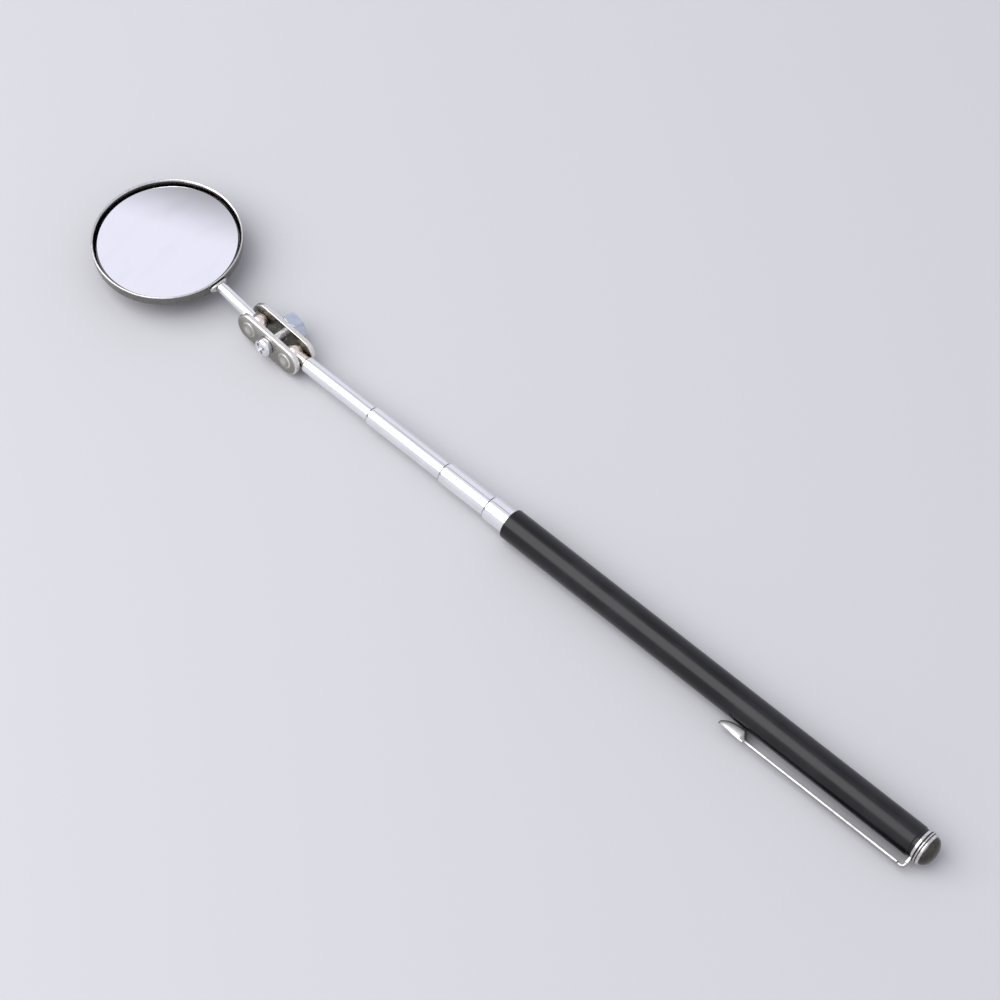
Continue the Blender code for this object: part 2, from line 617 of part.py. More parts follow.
def build_handle(tool, chrome, clip_metal):
    handle_tube(tool, chrome)
    handle_sleeve(tool, make_material("black_sleeve", (0.01, 0.01, 0.012), 0.18, 0.0))
    clip = add_frame("clip_direction", tool, turn(-CLIP_DROP, "X"))
    clip_band(clip, clip_metal)
    clip_arm(clip, clip_metal)
    end_cap(tool, clip_metal)


def set_down(tool):
    """Move the whole tool so that it stands on z = 0 with its box centred on the Z axis."""
    bpy.context.view_layer.update()
    depsgraph = bpy.context.evaluated_depsgraph_get()
    corners = []
    for obj in bpy.data.objects:
        if obj.type != "MESH" or obj.hide_render:
            continue
        shape = obj.evaluated_get(depsgraph)
        corners += [shape.matrix_world @ vertex.co for vertex in shape.data.vertices]
    low = [min(corner[i] for corner in corners) for i in range(3)]
    high = [max(corner[i] for corner in corners) for i in range(3)]
    tool.location = (-(low[0] + high[0]) / 2, -(low[1] + high[1]) / 2, -low[2])
    bpy.context.view_layer.update()


def build():
    clear_scene()
    tool = add_frame("tool_frame", None, Matrix.Identity(4))
    chrome = make_material("chrome", (0.8, 0.8, 0.82), 0.12, 1.0)
    bright_nickel = make_material("bright_nickel", (0.7, 0.69, 0.66), 0.2, 1.0)
    ball_metal = make_material("ball_metal", (0.72, 0.6, 0.54), 0.22, 1.0)
    brass = make_material("brass_shim", (0.7, 0.5, 0.2), 0.35, 1.0)
    build_clamp(tool, chrome, bright_nickel, ball_metal)
    wand_ball(tool, ball_metal)
    for k in range(SECTION_COUNT):
        tube_section(k, tool, chrome)
        friction_shim(k, tool, brass)
    build_handle(tool, chrome, bright_nickel)
    set_down(tool)


build()
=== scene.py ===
# %% [markdown]
# # A telescoping inspection mirror
#
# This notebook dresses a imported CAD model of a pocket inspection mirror. The CAD says where each piece
# is and how it moves. Each step below looks at one piece or one finish of the real tool, says how it
# could be made in Blender, and makes it around the CAD.

import json
import math

import bmesh
import bpy
from mathutils import Matrix, Vector, noise


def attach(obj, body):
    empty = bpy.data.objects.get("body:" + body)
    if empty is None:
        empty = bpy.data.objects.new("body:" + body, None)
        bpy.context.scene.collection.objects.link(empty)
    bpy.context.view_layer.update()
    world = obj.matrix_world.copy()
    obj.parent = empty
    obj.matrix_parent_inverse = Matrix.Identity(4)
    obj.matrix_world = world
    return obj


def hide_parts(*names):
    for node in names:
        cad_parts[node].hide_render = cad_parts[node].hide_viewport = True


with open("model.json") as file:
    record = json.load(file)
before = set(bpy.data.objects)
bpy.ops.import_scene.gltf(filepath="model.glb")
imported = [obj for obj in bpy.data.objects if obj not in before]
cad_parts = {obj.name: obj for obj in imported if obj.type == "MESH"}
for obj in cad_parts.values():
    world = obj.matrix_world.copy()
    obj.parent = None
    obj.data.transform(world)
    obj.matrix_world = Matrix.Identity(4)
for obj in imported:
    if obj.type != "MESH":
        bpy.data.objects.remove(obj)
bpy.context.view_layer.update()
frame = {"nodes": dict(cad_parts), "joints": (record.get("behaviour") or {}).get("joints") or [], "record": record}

# %% [markdown]
# ## Places
#
# Nothing is placed by eye. The joints give the two ball centres and the directions of the clamp, the
# stem and the clip, and the record's mount gives the back of the mirror's cup. A place is a 4 x 4
# matrix: its columns are the piece's own X, Y and Z directions and its origin.

# %% Places taken from the joints
MM = 0.001
joints = {joint["name"]: joint for joint in frame["joints"]}
mounts = {mount["name"]: mount for mount in frame["record"]["mounts"]}


def place_from(origin, x_direction, y_direction):
    """A place with its X along one direction and its Y as near as can be to another."""
    x = Vector(x_direction).normalized()
    z = x.cross(Vector(y_direction)).normalized()
    y = z.cross(x)
    columns = Matrix((x, y, z)).transposed().to_4x4()
    return Matrix.Translation(origin) @ columns


def joint_point(name):
    return Vector(joints[name]["pos_m"])


def joint_axis(name):
    return Vector(joints[name]["axis"])


wand_ball_centre = joint_point("clamp_swing")
stem_ball_centre = joint_point("head_swing")
clip_out = joint_axis("clip_flex").cross(Vector((1, 0, 0)))

wand_place = Matrix.Translation(wand_ball_centre)
clamp_place = place_from(wand_ball_centre, stem_ball_centre - wand_ball_centre, joint_axis("clamp_swing"))
head_place = place_from(stem_ball_centre, joint_axis("head_twist"), joint_axis("clamp_swing"))
clip_place = place_from(wand_ball_centre, (1, 0, 0), clip_out)

cup_up = -Vector(mounts["cup_back"]["axis"])
cup_origin = Vector(mounts["cup_back"]["pos_m"])
cup_side = cup_up.cross(joint_axis("head_twist"))
cup_place = place_from(cup_origin, cup_side.cross(cup_up), cup_side)

ball_spacing = (stem_ball_centre - wand_ball_centre).length
print(f"the balls are {ball_spacing / MM:.2f} mm apart")

# %% [markdown]
# ## Measuring the CAD
#
# A CAD node's mesh holds its shape and its place together. Seen from a piece's own place, its lowest
# and highest corners are the piece's sizes, so every size below is read from the CAD and stays true
# when the CAD changes.

# %% Measure a node from a place


def measured(node, place):
    """Lowest and highest corner of a CAD node, along the X, Y and Z of a place."""
    back = place.inverted()
    points = [back @ vertex.co for vertex in frame["nodes"][node].data.vertices]
    low = Vector([min(point[i] for point in points) for i in range(3)])
    high = Vector([max(point[i] for point in points) for i in range(3)])
    return low, high


for node in ("mirror_cup", "clamp_plate_near", "handle_sleeve"):
    node_low, node_high = measured(node, cup_place if node == "mirror_cup" else clamp_place)
    print(node, [round(size / MM, 2) for size in node_high - node_low], "mm")

# %% [markdown]
# ## Camera
#
# The tool is seen from above the clip's side, mirror to the upper left. A long lens a little over half
# a metre away keeps the tubes nearly parallel. The camera looks at a point on the wand between the
# handle's front and its middle.

# %% Camera
camera_target = wand_ball_centre + Vector((-55.077, -2.737, -0.3)) * MM
camera_turn = math.radians(-137.627)
camera_height = math.radians(57.416)
camera_roll = math.radians(0.424)
camera_distance = 525.547 * MM

away = Vector((math.sin(camera_turn) * math.cos(camera_height),
               -math.cos(camera_turn) * math.cos(camera_height),
               math.sin(camera_height)))
level = Vector((math.cos(camera_turn), math.sin(camera_turn), 0))
facing = place_from(camera_target + away * camera_distance, level, away.cross(level))

camera_data = bpy.data.cameras.new("camera")
camera_data.sensor_width = 36.0
camera_data.lens = 95.32
camera_data.clip_start = 0.01
camera = bpy.data.objects.new("camera", camera_data)
bpy.context.scene.collection.objects.link(camera)
camera.matrix_world = facing @ Matrix.Rotation(camera_roll, 4, "Z")
bpy.context.scene.camera = camera
bpy.context.scene.view_settings.view_transform = "Standard"
print("camera at", [round(value, 3) for value in camera.matrix_world.translation])

# %% [markdown]
# ## Shader sums
#
# A finish is a sum of masks: noise, stripes and ramps. Wiring them by hand is slow to read, so one
# small class wraps a node's socket and lets Python's own signs add the Math nodes. Any other node
# comes from its `node` method: settings first, then a number or a link for each input.

# %% A socket that can be added and multiplied


class Shade:
    """One output socket of a shader tree, which can be used in Python sums."""

    def __init__(self, tree, socket):
        self.tree = tree
        self.socket = socket

    def node(self, kind, settings=None, values=None, output=0):
        made = self.tree.nodes.new(kind)
        for name, value in (settings or {}).items():
            setattr(made, name, value)
        for key, value in (values or {}).items():
            if isinstance(value, Shade):
                self.tree.links.new(value.socket, made.inputs[key])
            else:
                made.inputs[key].default_value = value
        return Shade(self.tree, made.outputs[output])

    def math(self, operation, *values):
        return self.node("ShaderNodeMath", {"operation": operation}, dict(enumerate(values)))

    def __add__(self, other):
        return self.math("ADD", self, other)

    __radd__ = __add__

    def __sub__(self, other):
        return self.math("SUBTRACT", self, other)

    def __rsub__(self, other):
        return self.math("SUBTRACT", other, self)

    def __mul__(self, other):
        return self.math("MULTIPLY", self, other)

    __rmul__ = __mul__

    def stretched(self, x, y, z):
        """The same coordinates with a pattern drawn out or packed along each direction."""
        return self.node("ShaderNodeMapping", {}, {"Vector": self, "Scale": (x, y, z)})

    def noise(self, size, detail=2.0):
        """Soft cloudy values from 0 to 1, whose lumps are about size metres across."""
        return self.node("ShaderNodeTexNoise", {}, {"Vector": self, "Scale": 1 / size, "Detail": detail})

    def step(self, low, high):
        """0 below low, 1 above high, and a smooth rise between."""
        return self.node("ShaderNodeMapRange", {"interpolation_type": "SMOOTHSTEP"},
                         {"Value": self, "From Min": low, "From Max": high})

    def pick(self, first, second):
        """Colour first where this mask is 0, and second where it is 1."""
        return self.node("ShaderNodeMix", {"data_type": "RGBA"}, {0: self, 6: first, 7: second}, 2)

    def bump(self, depth):
        """A surface that stands up by depth metres where this value is 1."""
        return self.node("ShaderNodeBump", {}, {"Height": self, "Distance": depth})


def rgba(red, green, blue):
    return (red, green, blue, 1.0)


def new_finish(name):
    """A material, the coordinates to draw its pattern with, and its Principled shader's sockets."""
    material = bpy.data.materials.new(name)
    material.use_nodes = True
    tree = material.node_tree
    shader = tree.nodes["Principled BSDF"]
    coordinates = tree.nodes.new("ShaderNodeTexCoord")
    return material, Shade(tree, coordinates.outputs["Object"]), shader.inputs


def connect(value, socket):
    value.tree.links.new(value.socket, socket)


# %% [markdown]
# ## Floor and light
#
# Chrome has no colour of its own: it shows the room. The room is a pale floor, one big soft light that
# draws the white stripe down the tubes, and pale lavender panels all round. Beyond the mirror's end the
# room is dark near the floor, which draws the front of each tube, and there is one dim gap between the
# panels. A flat mirror shows only a small part of the room, so without the gap the glass would be one
# even colour. The gap also gives the tubes a thin grey line beside the white stripe.

# %% Floor
floor_size = 20.0
floor_mesh = bpy.data.meshes.new("floor")
floor_outline = [(math.cos(i * math.pi / 32) * floor_size, math.sin(i * math.pi / 32) * floor_size, 0)
                 for i in range(64)]
floor_mesh.from_pydata(floor_outline, [], [list(range(64))])
floor = bpy.data.objects.new("floor", floor_mesh)
bpy.context.scene.collection.objects.link(floor)
floor.location.z = -0.05 * MM

floor_finish, at, sockets = new_finish("pale_floor")
sockets["Base Color"].default_value = rgba(0.47, 0.47, 0.48)
sockets["Specular IOR Level"].default_value = 0.3
connect(at.noise(0.4) * 0.1 + 0.45, sockets["Roughness"])
floor_mesh.materials.append(floor_finish)

# %% Sky
world = bpy.data.worlds.new("soft_room")
world.use_nodes = True
bpy.context.scene.world = world
sky_tree = world.node_tree
sky_direction = Shade(sky_tree, sky_tree.nodes.new("ShaderNodeTexCoord").outputs["Generated"])
sky_forward = sky_direction.node("ShaderNodeSeparateXYZ", {}, {"Vector": sky_direction}, 0)
sky_height = sky_direction.node("ShaderNodeSeparateXYZ", {}, {"Vector": sky_direction}, 2)
shaded_side = Vector((0.310, -0.768, -0.561))
past_edge = sky_direction.node("ShaderNodeVectorMath", {"operation": "DOT_PRODUCT"},
                               {0: sky_direction, 1: shaded_side}, 1)
panel_gap = past_edge.step(0.007, 0.030) * (1 - past_edge.step(0.10, 0.16))
panels = panel_gap.pick(rgba(0.86, 0.86, 0.96), rgba(0.34, 0.34, 0.36))
dark_end = sky_forward.step(0.45, 0.8) * (1 - sky_height.step(0.1, 0.5))
sky_colour = dark_end.pick(panels, rgba(0.02, 0.02, 0.02))
connect(sky_colour, sky_tree.nodes["Background"].inputs["Color"])

# %% Soft light
light_data = bpy.data.lights.new("soft_light", "AREA")
light_data.shape = "RECTANGLE"
light_data.size = 1.2
light_data.size_y = 1.0
light_data.energy = 10.5
light = bpy.data.objects.new("soft_light", light_data)
bpy.context.scene.collection.objects.link(light)
light_direction = Vector((0.42, 0.43, 0.80)).normalized()
light_side = Vector((1, 0, 0)) - light_direction * light_direction.x
light.matrix_world = place_from(camera_target + light_direction * 0.95, light_side,
                                light_direction.cross(light_side))
print("light at", [round(value, 2) for value in light.matrix_world.translation])

# %% [markdown]
# ## Finishes
#
# Bright chrome is a metal whose roughness is low but never even. Drawn tube has faint lines along its
# length, handling leaves cloudy smears, and both show only as small changes of roughness. The lines
# are noise stretched fifty times along the wand.

# %% Chrome
def chrome_finish(name, lines, smear, least):
    """Chrome with drawing lines or without, whose roughness is least where it isn't smeared."""
    material, at, sockets = new_finish(name)
    drawn = at.stretched(0.02, 1, 1).noise(0.25 * MM, 3.0) if lines else at.noise(0.5 * MM, 3.0)
    smears = at.noise(6 * MM, 4.0).step(0.45, 0.75)
    sockets["Metallic"].default_value = 1.0
    connect(smears.pick(rgba(0.87, 0.87, 0.885), rgba(0.81, 0.81, 0.82)), sockets["Base Color"])
    connect(drawn * 0.05 + smears * smear + least, sockets["Roughness"])
    connect(drawn.bump(0.002 * MM), sockets["Normal"])
    return material


drawn_chrome = chrome_finish("drawn_chrome", lines=True, smear=0.05, least=0.09)
spun_chrome = chrome_finish("spun_chrome", lines=False, smear=0.06, least=0.07)

# %% [markdown]
# The clamp's plates are stamped and barrel plated: warm grey nickel with a fine pitted skin. A little
# Voronoi noise gives the pits, which darken the colour, roughen it and dent the surface together, so
# that they read as one thing. Painted shade darkens the plates' flat faces inside and out, less on the
# domes and the upper edge of the outer face, which are painted lighter as lit places. It follows the
# plates' shape, not a pattern in space, so each plate carries it as an attribute of its points, and
# the material only reads it. The cup, the clip and the cap are polished sheet with the same plating,
# so their pits are shallower: the clip is dull, the cap's flange bright, and the cup's wall and the
# cap's dome are painted dark, a painted dark reflection. Zinc on the nut is bluer.

# %% Nickel and zinc
def plated_finish(name, bright, dull, rough, pit_size=0.8 * MM, pit_depth=0.002 * MM, painted_shade_colour=None):
    """Plating whose pits are duller; a painted shade colour shows where the piece's painted shade mark is 1."""
    material, at, sockets = new_finish(name)
    cell = at.node("ShaderNodeTexVoronoi", {}, {"Vector": at, "Scale": 1 / pit_size, "Randomness": 1.0})
    pits = 1 - cell.step(0.05, 0.34)
    blotches = at.noise(0.9 * MM, 5.0).step(0.35, 0.72)
    grain = at.noise(0.12 * MM, 2.0)
    colour = (pits * 0.5 + blotches * 0.6).pick(bright, dull)
    if painted_shade_colour:
        painted_shade = at.node("ShaderNodeAttribute", {"attribute_name": "painted_shade"}, {}, "Fac")
        colour = painted_shade.pick(colour, painted_shade_colour)
    sockets["Metallic"].default_value = 1.0
    connect(colour, sockets["Base Color"])
    connect(blotches * 0.16 + grain * 0.1 + rough, sockets["Roughness"])
    connect((1 - pits + grain * 0.4).bump(pit_depth), sockets["Normal"])
    return material


# The plates' dark colour here is painted shade, read from each plate's painted shade mark.
nickel = plated_finish("satin_nickel", rgba(0.86, 0.84, 0.79), rgba(0.62, 0.60, 0.55), rough=0.2,
                       pit_size=0.34 * MM, pit_depth=0.014 * MM, painted_shade_colour=rgba(0.27, 0.262, 0.235))
# The cup wall's dark colour is a painted dark reflection, not the nickel's own tone.
cup_painted_dark_reflection = plated_finish("cup_painted_dark_reflection", rgba(0.21, 0.205, 0.19), rgba(0.15, 0.145, 0.13), rough=0.1)
bright_nickel = plated_finish("bright_nickel", rgba(0.70, 0.69, 0.67), rgba(0.52, 0.50, 0.47), rough=0.1)
clip_nickel = plated_finish("clip_nickel", rgba(0.46, 0.455, 0.445), rgba(0.37, 0.36, 0.345), rough=0.26,
                            pit_depth=0.003 * MM)
# The dome's near-black colour is a painted dark reflection.
dome_painted_dark_reflection = plated_finish("dome_painted_dark_reflection", rgba(0.085, 0.078, 0.07), rgba(0.05, 0.045, 0.04), rough=0.06)
zinc = plated_finish("blue_zinc", rgba(0.60, 0.66, 0.75), rgba(0.40, 0.45, 0.52), rough=0.22,
                     pit_size=0.5 * MM, pit_depth=0.010 * MM)
screw_zinc = plated_finish("screw_zinc", rgba(0.86, 0.86, 0.87), rgba(0.58, 0.59, 0.60), rough=0.14,
                           pit_size=0.4 * MM, pit_depth=0.014 * MM)
ball_steel = plated_finish("warm_ball_steel", rgba(0.90, 0.82, 0.76), rgba(0.66, 0.54, 0.48), rough=0.10,
                           pit_size=0.6 * MM, pit_depth=0.004 * MM)
# Painted shade: near-black rings at the tube mouths and in the cap's grooves.
painted_shade_black = plated_finish("painted_shade_black", rgba(0.05, 0.05, 0.055), rgba(0.03, 0.03, 0.03), rough=0.4,
                         pit_size=0.3 * MM)

# %% [markdown]
# The handle's sleeve is black plastic with a soft polish. It reflects very little, so that the pale
# room hardly greys it, and hands have dulled the polish in long streaks.

# %% Black sleeve
black_sleeve, at, sockets = new_finish("black_sleeve")
streaks = at.stretched(0.05, 1, 1).noise(0.6 * MM, 4.0)
dulled = at.noise(9 * MM, 4.0).step(0.4, 0.7)
connect(dulled.pick(rgba(0.0045, 0.0045, 0.0055), rgba(0.010, 0.010, 0.012)), sockets["Base Color"])
connect(streaks * 0.07 + dulled * 0.06 + 0.20, sockets["Roughness"])
connect(streaks.bump(0.004 * MM), sockets["Normal"])
sockets["Specular IOR Level"].default_value = 0.32

# %% [markdown]
# The mirror is glass silvered on its back. A camera can't tell that from a very smooth pale metal,
# which costs far less to render, so the glass is metal with a cold tint. Only a few faint smears show
# that it has been wiped.

# %% Silvered glass
silvered, at, sockets = new_finish("silvered_glass")
wiped = at.stretched(1, 0.35, 1).noise(5 * MM, 4.0).step(0.5, 0.8)
sockets["Metallic"].default_value = 1.0
connect(wiped.pick(rgba(0.95, 0.95, 0.985), rgba(0.91, 0.91, 0.945)), sockets["Base Color"])
connect(wiped * 0.03 + 0.015, sockets["Roughness"])
connect(at.noise(8 * MM, 1.0).bump(0.003 * MM), sockets["Normal"])

# %% Hidden brass and board
brass, at, sockets = new_finish("rolled_brass")
rolled = at.stretched(0.05, 1, 1).noise(0.3 * MM, 3.0)
sockets["Metallic"].default_value = 1.0
connect(rolled.pick(rgba(0.70, 0.50, 0.22), rgba(0.55, 0.37, 0.15)), sockets["Base Color"])
connect(rolled * 0.2 + 0.25, sockets["Roughness"])

board, at, sockets = new_finish("dark_board")
fibres = at.noise(0.3 * MM, 5.0)
connect(fibres.pick(rgba(0.03, 0.03, 0.03), rgba(0.08, 0.075, 0.07)), sockets["Base Color"])
connect(fibres * 0.1 + 0.85, sockets["Roughness"])
connect(fibres.bump(0.03 * MM), sockets["Normal"])

for number in (1, 2, 3, 4):
    frame["nodes"][f"friction_shim_{number}"].material_slots[0].material = brass
frame["nodes"]["mirror_backing_pad"].material_slots[0].material = board
print("finishes:", len(bpy.data.materials))

# %% [markdown]
# ## Shaping tools
#
# Nearly every piece of this tool is skinned over rings: a turned piece's rings are circles, a nut's are
# hexagons with cut corners, and a clip's are the sections of a strip. One function joins rings to a
# closed mesh. A ring whose points all meet is a pole, and closes an end.

# %% Skin rings, arcs and turned profiles
SHARP = math.radians(38)
POLE = 1e-7


def finish_mesh(name, bm, material):
    """Point the faces outwards, shade the round parts smooth and make the object."""
    bmesh.ops.remove_doubles(bm, verts=bm.verts, dist=POLE)
    bmesh.ops.recalc_face_normals(bm, faces=bm.faces)
    mesh = bpy.data.meshes.new(name)
    bm.to_mesh(mesh)
    bm.free()
    return finish_object(name, mesh, material)


def finish_object(name, mesh, material):
    mesh.materials.clear()
    mesh.materials.append(material)
    mesh.shade_smooth()
    mesh.set_sharp_from_angle(angle=SHARP)
    piece = bpy.data.objects.new(name, mesh)
    bpy.context.scene.collection.objects.link(piece)
    return piece


def skinned(name, rings, place, material, hollow=False):
    """A closed surface over rings of points, each ring with the same count; hollow joins last to first."""
    bm = bmesh.new()
    made = [[bm.verts.new(place @ Vector(point)) for point in ring] for ring in rings]
    following = made[1:] + (made[:1] if hollow else [])
    for ring, after in zip(made, following):
        for i in range(len(ring)):
            j = (i + 1) % len(ring)
            bm.faces.new((ring[i], ring[j], after[j], after[i]))
    if not hollow:
        bm.faces.new(made[0])
        bm.faces.new(made[-1][::-1])
    bmesh.ops.dissolve_degenerate(bm, edges=bm.edges, dist=POLE)
    return finish_mesh(name, bm, material)


def arc(centre, radius, start, end, steps, squash=1.0):
    """(station, radius) points of an arc, in degrees from the +station direction."""
    points = []
    for i in range(steps + 1):
        angle = math.radians(start + (end - start) * i / steps)
        points.append((centre[0] + squash * radius * math.cos(angle), centre[1] + radius * math.sin(angle)))
    return points


def smooth(value, low, high):
    """0 below low, 1 above high, and a smooth rise between."""
    share = min(max((value - low) / (high - low), 0.0), 1.0)
    return share * share * (3 - 2 * share)


def ring_at(station, radius, sides):
    """A ring about the X of a place; its radius is a number or a function of the share of a turn."""
    ring = []
    for i in range(sides):
        angle = 2 * math.pi * i / sides
        reach = radius(i / sides) if callable(radius) else max(radius, 0.0)
        ring.append((station, reach * math.cos(angle), reach * math.sin(angle)))
    return ring


def turned(name, profile, place, material, hollow=False, sides=96):
    """Turn (station, radius) points about the X of a place."""
    rings = [ring_at(station, radius, sides) for station, radius in profile]
    return skinned(name, rings, place, material, hollow)


ALONG_Z = Matrix.Rotation(math.radians(-90), 4, "Y")
ALONG_Y = Matrix.Rotation(math.radians(90), 4, "Z")


def wear(piece, body, slot, *nodes):
    """The piece moves with a body and stands for these CAD nodes; the slot is not used."""
    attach(piece, body)
    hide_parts(*nodes)
    print(f"{piece.name}: {len(piece.data.polygons)} faces")


# %% [markdown]
# ## Telescoping sections
#
# Each section is a thin drawn tube whose front end is rounded inwards until it just holds the next
# one. All five tubes are the same rule with other numbers, so Geometry Nodes suit them: a profile of
# straight lines and a quarter of an ellipse is swept round a small circle, as on a lathe. The tree's
# inputs are the sizes, and the same tree makes every tube. A thin near-black ring turned at each
# mouth is painted shade, where the lip meets the next tube.

# %% The tube tree


def tube_tree():
    tree = bpy.data.node_groups.new("swaged_tube", "GeometryNodeTree")
    tree.interface.new_socket("Tube", in_out="OUTPUT", socket_type="NodeSocketGeometry")
    for name in ("Front", "Rear", "Radius", "Wall", "Mouth", "Lip Length", "Lip Edge"):
        tree.interface.new_socket(name, in_out="INPUT", socket_type="NodeSocketFloat")
    tree.interface.new_socket("Sides", in_out="INPUT", socket_type="NodeSocketInt")
    tree.interface.new_socket("Finish", in_out="INPUT", socket_type="NodeSocketMaterial")
    inputs = tree.nodes.new("NodeGroupInput")
    size = {socket.name: Shade(tree, socket) for socket in inputs.outputs if socket.name}
    spindle = MM
    rear, front, radius, mouth = size["Rear"], size["Front"], size["Radius"], size["Mouth"]
    bore = radius - size["Wall"]
    lip_start = front - size["Lip Length"]
    drop = radius - mouth - size["Lip Edge"]

    def point(across, station):
        """A profile point: outwards from the spindle, and along the tube."""
        return radius.node("ShaderNodeCombineXYZ", {}, {0: across - spindle, 1: -1 * station})

    def line(start, end):
        return radius.node("GeometryNodeCurvePrimitiveLine", {}, {"Start": start, "End": end})

    quarter = radius.node("GeometryNodeCurveArc", {"mode": "RADIUS"},
                          {"Resolution": 12, "Radius": 1.0, "Start Angle": 0.0, "Sweep Angle": math.pi / 2})
    lip_size = radius.node("ShaderNodeCombineXYZ", {}, {0: drop, 1: -1 * size["Lip Length"], 2: 1.0})
    lip = radius.node("GeometryNodeTransform", {}, {"Geometry": quarter, "Scale": lip_size,
                                                    "Translation": point(radius - drop, lip_start)})
    lines = [line(point(radius, rear), point(radius, lip_start)), lip,
             line(point(radius - drop, front), point(mouth, front)),
             line(point(mouth, front), point(bore, lip_start)),
             line(point(bore, lip_start), point(bore, rear)),
             line(point(bore, rear), point(radius, rear))]
    join = tree.nodes.new("GeometryNodeJoinGeometry")
    for part in lines:
        tree.links.new(part.socket, join.inputs[0])
    profile = Shade(tree, join.outputs[0])
    circle = radius.node("GeometryNodeCurvePrimitiveCircle", {}, {"Resolution": size["Sides"],
                                                               "Radius": spindle})
    upright = radius.node("GeometryNodeSetCurveNormal", {"mode": "Z_UP"}, {"Curve": circle})
    swept = radius.node("GeometryNodeCurveToMesh", {}, {"Curve": upright, "Profile Curve": profile})
    closed = radius.node("GeometryNodeMergeByDistance", {}, {"Geometry": swept, "Distance": 1e-6})
    laid = radius.node("GeometryNodeTransform", {}, {"Geometry": closed, "Rotation": (0, math.pi / 2, 0)})
    real = radius.node("GeometryNodeRealizeInstances", {}, {"Geometry": laid})
    dressed = radius.node("GeometryNodeSetMaterial", {}, {"Geometry": real, "Material": size["Finish"]})
    outputs = tree.nodes.new("NodeGroupOutput")
    tree.links.new(dressed.socket, outputs.inputs["Tube"])
    return tree


def from_tree(name, tree, place, sizes):
    """Run a tree with these inputs and keep the result as a plain mesh at a place."""
    holder = bpy.data.objects.new(name + "_holder", bpy.data.meshes.new(name + "_holder"))
    bpy.context.scene.collection.objects.link(holder)
    modifier = holder.modifiers.new("Nodes", "NODES")
    modifier.node_group = tree
    for item in tree.interface.items_tree:
        if item.in_out == "INPUT":
            modifier[item.identifier] = sizes[item.name]
    depsgraph = bpy.context.evaluated_depsgraph_get()
    mesh = bpy.data.meshes.new_from_object(holder.evaluated_get(depsgraph), depsgraph=depsgraph)
    holder.modifiers.remove(modifier)
    bpy.data.objects.remove(holder)
    bm = bmesh.new()
    bm.from_mesh(mesh)
    bpy.data.meshes.remove(mesh)
    bmesh.ops.transform(bm, matrix=place, verts=bm.verts)
    return finish_mesh(name, bm, sizes["Finish"])


# %% Five tubes from one tree
tube_wall = 0.2 * MM
lip_edge = 0.10 * MM
lip_length = 0.6 * MM
slide_gap = 0.02 * MM
swaged_tube = tube_tree()
tube_bodies = {"tube_1": "section_1", "tube_2": "section_2", "tube_3": "section_3", "tube_4": "section_4",
               "handle_tube": "handle"}
edge_width = 0.1 * MM
edge_reach = 0.14 * MM
edge_round = 0.05 * MM
held_radius = None
for node, body in tube_bodies.items():
    low, high = measured(node, wand_place)
    radius = (high.z - low.z) / 2
    mouth = held_radius + slide_gap if held_radius else radius - tube_wall - slide_gap
    sizes = {"Front": high.x, "Rear": low.x, "Radius": radius, "Wall": tube_wall, "Mouth": mouth,
             "Lip Length": lip_length, "Lip Edge": lip_edge, "Sides": 128, "Finish": drawn_chrome}
    piece = from_tree(f"{node}_skin", swaged_tube, wand_place, sizes)
    wear(piece, body, "chrome", node)
    # A near-black ring at the mouth: painted shade where the lip meets the next tube.
    cut_end = high.x + edge_reach
    cut = [(high.x, mouth), (high.x, mouth + edge_width), (cut_end - edge_round, mouth + edge_width),
           (cut_end, mouth + edge_width - edge_round), (cut_end, mouth)]
    edge = turned(f"{node}_mouth_painted_shade", cut, wand_place, painted_shade_black, hollow=True)
    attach(edge, body)
    held_radius = radius

# %% [markdown]
# ## Handle sleeve
#
# The sleeve is a plain plastic tube pushed over the handle's own tube. What sells it is its two ends,
# whose small round edges catch the light. Behind the rear one a lower collar runs on to the clip, so
# that no chrome shows there. A lathe profile is enough.

# %% Sleeve
def outer_radius(node):
    low, high = measured(node, wand_place)
    return (high.z - low.z) / 2


sleeve_low, sleeve_high = measured("handle_sleeve", wand_place)
sleeve_radius = outer_radius("handle_sleeve")
sleeve_bore = outer_radius("handle_tube") + slide_gap
sleeve_round = 0.24 * MM
front_edge = arc((sleeve_high.x - sleeve_round, sleeve_radius - sleeve_round), sleeve_round, 0, 90, 8)
rear_edge = arc((sleeve_low.x + sleeve_round, sleeve_radius - sleeve_round), sleeve_round, 90, 180, 8)
collar_radius = sleeve_radius - 0.16 * MM
collar_rear = measured("clip_band", clip_place)[1].x + 0.05 * MM
sleeve_profile = front_edge + rear_edge[:5] + [(sleeve_low.x, collar_radius), (collar_rear, collar_radius)]
sleeve_profile += [(collar_rear, sleeve_bore), (sleeve_high.x, sleeve_bore)]
sleeve = turned("sleeve", sleeve_profile, wand_place, black_sleeve, hollow=True, sides=128)
wear(sleeve, "handle", "black_sleeve", "handle_sleeve")

# %% [markdown]
# ## End cap
#
# A pressed cap closes the rear: a flange of a narrow and a wide rounded bead, and a low dome painted
# near-black, a painted dark reflection. The dome is an arc squashed along the wand. A dark ring in
# the groove between the beads and in the one before them is painted shade.

